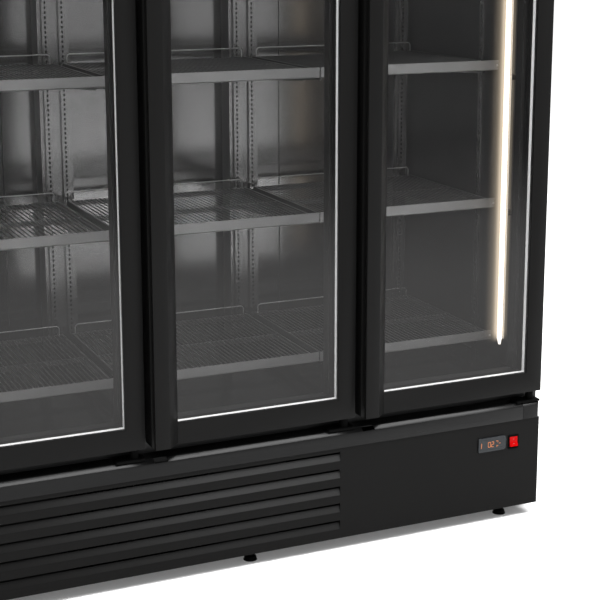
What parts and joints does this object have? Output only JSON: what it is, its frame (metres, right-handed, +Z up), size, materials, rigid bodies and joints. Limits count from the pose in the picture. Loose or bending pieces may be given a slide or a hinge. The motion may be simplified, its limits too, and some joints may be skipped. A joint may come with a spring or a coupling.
{
  "type": "glass door merchandiser",
  "caption": "Refrigerated display cabinet with hinged glass doors, full-height pull handles, wire shelves on slotted posts and a louvred machine plinth.",
  "frame": {"origin": "middle of the footprint at floor level, where the feet stand", "axes": "+Z up, +X to the right along the width, the doors face -Y"},
  "size_m": [1.55, 0.816, 1.99],
  "materials": {
    "cabinet_skin": "satin black coated skins over foam",
    "liner": "glossy grey coated liner over foam",
    "fixed_frame": "black moulded frame",
    "rail_metal": "dark satin extrusion",
    "black_plastic": "fine-grained black",
    "plinth_paint": "fine textured black powder coat",
    "plain_sheet": "plain grey sheet",
    "window": "dark smoked window",
    "red_rocker": "glossy red",
    "hinge_steel": "dull plated steel",
    "post_paint": "grey coating",
    "shelf_wire": "pale grey plastic coating",
    "price_plastic": "grey profile",
    "light_metal": "satin extrusion",
    "diffuser": "milky warm white",
    "evaporator_paint": "pale coating",
    "fin_metal": "bare fins",
    "fan_plastic": "black moulding",
    "compressor_paint": "satin black",
    "door_frame": "fine textured black coating",
    "door_handle": "fine textured black coating",
    "glass": "clear double glazing",
    "spacer": "pale satin spacer",
    "gasket": "dark grey magnetic seal"
  },
  "bodies": {
    "cabinet": {"side_wall_left": "cabinet_skin", "side_wall_right": "cabinet_skin", "roof_panel": "cabinet_skin", "rear_wall": "liner", "floor_panel": "liner", "front_posts": "fixed_frame", "front_sill": "fixed_frame", "front_header": "fixed_frame", "lower_hinge_rail": "rail_metal", "upper_hinge_rail": "rail_metal", "rail_end_caps": "black_plastic", "cable_gland": "black_plastic", "controller_case": "black_plastic", "switch_bezel": "black_plastic", "levelling_feet": "black_plastic", "plinth_panel": "plinth_paint", "base_tray": "plain_sheet", "rear_grille": "plain_sheet", "fan_shroud": "plain_sheet", "controller_lens": "window", "lower_hinge_plates": "hinge_steel", "upper_hinge_plates": "hinge_steel", "rear_posts": "post_paint", "corner_posts": "post_paint", "slotted_strips": "post_paint", "side_strips": "post_paint", "shelf_brackets": "post_paint", "shelves_left": "shelf_wire", "shelves_middle": "shelf_wire", "shelves_right": "shelf_wire", "rear_stops": "shelf_wire", "price_strips": "price_plastic", "light_backs": "light_metal", "light_tubes": "diffuser", "evaporator_case": "evaporator_paint", "evaporator_coil": "fin_metal", "condenser_coil": "fin_metal", "compressor": "compressor_paint"},
    "door_left": {"door_left_frame": "door_frame", "door_left_handle": "door_handle", "door_left_glass": "glass", "door_left_spacer": "spacer", "door_left_gasket": "gasket"},
    "door_middle": {"door_middle_frame": "door_frame", "door_middle_handle": "door_handle", "door_middle_glass": "glass", "door_middle_spacer": "spacer", "door_middle_gasket": "gasket"},
    "door_right": {"door_right_frame": "door_frame", "door_right_handle": "door_handle", "door_right_glass": "glass", "door_right_spacer": "spacer", "door_right_gasket": "gasket"},
    "rocker": {"switch_rocker": "red_rocker"},
    "evaporator_fan_left": {"evaporator_fan_left": "fan_plastic"},
    "evaporator_fan_right": {"evaporator_fan_right": "fan_plastic"},
    "condenser_fan": {"condenser_fan": "fan_plastic"}
  },
  "joints": [
    {"name": "door_left_hinge", "type": "hinge", "parent": "cabinet", "child": "door_left", "pos_m": [-0.28, -0.362, 0.32], "axis": [0, 0, 1], "range_deg": [0, 90], "stiffness_Nm_per_rad": 2, "springref_deg": -20.05},
    {"name": "door_middle_hinge", "type": "hinge", "parent": "cabinet", "child": "door_middle", "pos_m": [0.225, -0.362, 0.32], "axis": [0, 0, 1], "range_deg": [0, 90], "stiffness_Nm_per_rad": 2, "springref_deg": -20.05},
    {"name": "door_right_hinge", "type": "hinge", "parent": "cabinet", "child": "door_right", "pos_m": [0.73, -0.362, 0.32], "axis": [0, 0, 1], "range_deg": [0, 90], "stiffness_Nm_per_rad": 2, "springref_deg": -20.05},
    {"name": "rocker_pivot", "type": "hinge", "parent": "cabinet", "child": "rocker", "pos_m": [0.677, -0.374, 0.198], "axis": [1, 0, 0], "range_deg": [0, 16]},
    {"name": "evaporator_fan_left_spin", "type": "hinge", "parent": "cabinet", "child": "evaporator_fan_left", "pos_m": [-0.3, 0.173, 1.865], "axis": [0, 1, 0], "continuous": true},
    {"name": "evaporator_fan_right_spin", "type": "hinge", "parent": "cabinet", "child": "evaporator_fan_right", "pos_m": [0.3, 0.173, 1.865], "axis": [0, 1, 0], "continuous": true},
    {"name": "condenser_fan_spin", "type": "hinge", "parent": "cabinet", "child": "condenser_fan", "pos_m": [-0.24, -0.187, 0.132], "axis": [0, 1, 0], "continuous": true}
  ]
}
